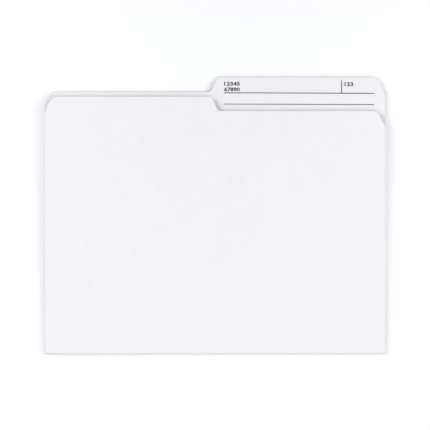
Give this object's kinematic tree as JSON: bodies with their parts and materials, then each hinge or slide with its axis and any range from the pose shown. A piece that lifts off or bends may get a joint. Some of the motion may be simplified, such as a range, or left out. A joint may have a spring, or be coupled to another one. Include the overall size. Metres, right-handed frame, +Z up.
{
  "type": "file folder",
  "caption": "Board file folder for letter paper: a back leaf with a raised half-width tab, and a shorter front leaf that swings about a creased fold from shut to flat open.",
  "frame": {"origin": "on the resting plane, under the middle of the closed folder's outline", "axes": "+X along the fold towards the tab's end, +Y from the fold to the tab, +Z up, out of the front leaf"},
  "size_m": [0.298, 0.242, 0.0053],
  "materials": {
    "board": "matte",
    "print": "matte"
  },
  "bodies": {
    "back": {"back_leaf": "board"},
    "strip": {"fold_strip": "board"},
    "front": {"front_leaf": "board"}
  },
  "joints": [
    {"name": "back_crease", "type": "hinge", "parent": "back", "child": "strip", "pos_m": [0, -0.12085, 0.00014], "axis": [1, 0, 0], "range_deg": [-0.35, 89.65]},
    {"name": "front_crease", "type": "hinge", "parent": "strip", "child": "front", "pos_m": [0, -0.12086, 0.00244], "axis": [1, 0, 0], "range_deg": [-0.35, 89.65]}
  ]
}
